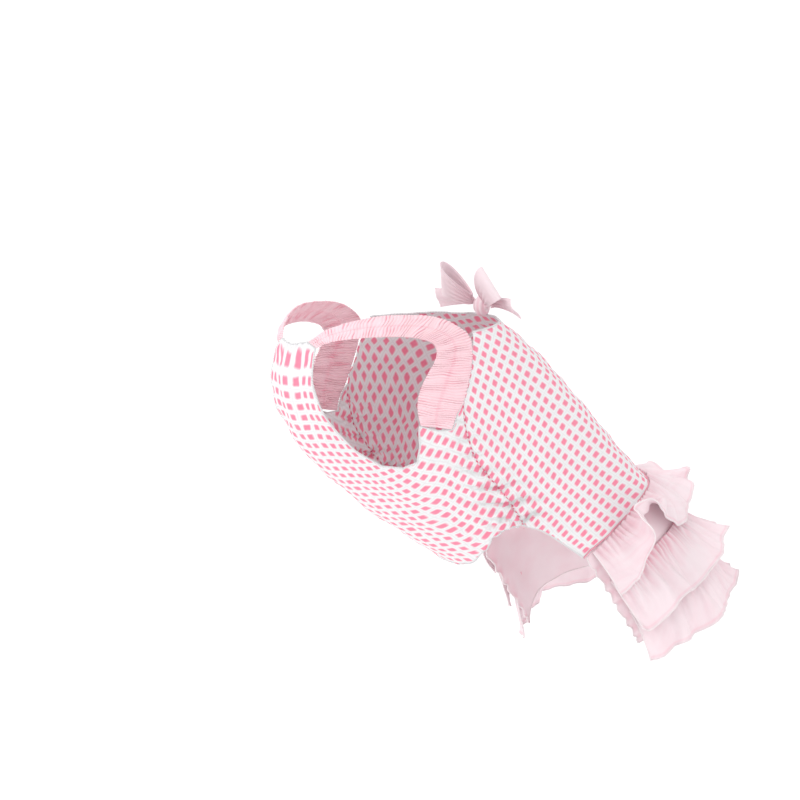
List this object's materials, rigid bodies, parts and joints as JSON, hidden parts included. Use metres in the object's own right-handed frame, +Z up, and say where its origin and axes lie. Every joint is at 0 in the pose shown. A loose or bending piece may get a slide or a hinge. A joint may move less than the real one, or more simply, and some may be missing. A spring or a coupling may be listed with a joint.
{
  "type": "dog dress",
  "caption": "Small dog's dress with check cotton back and belly panels, shirred shoulder straps, a bow at the nape and a skirt of gathered ruffle tiers.",
  "frame": {"origin": "the middle of the back panel's neck edge, where it lies on the dog's withers", "axes": "+X towards the tail, along the dress; +Y to the dog's right side; +Z up, as the dress sits on a sitting dog"},
  "size_m": [0.2781, 0.1356, 0.2039],
  "materials": {
    "check_cotton": "printed cotton poplin, small pink squares on white",
    "shirred_cotton": "pink cotton shirred on elastic",
    "ruffle_voile": "pale pink cotton voile with a rolled hem",
    "bow_voile": "pale pink cotton voile, folded"
  },
  "bodies": {
    "root": {"back_panel": "check_cotton", "belly_panel": "check_cotton", "shoulder_strap_left": "shirred_cotton", "shoulder_strap_right": "shirred_cotton", "skirt_base": "ruffle_voile", "skirt_tier_top": "ruffle_voile", "skirt_tier_middle": "ruffle_voile", "skirt_tier_bottom": "ruffle_voile", "bow_knot": "bow_voile", "bow_loop_left": "bow_voile", "bow_loop_right": "bow_voile", "bow_tail_left": "bow_voile", "bow_tail_right": "bow_voile"}
  },
  "joints": []
}
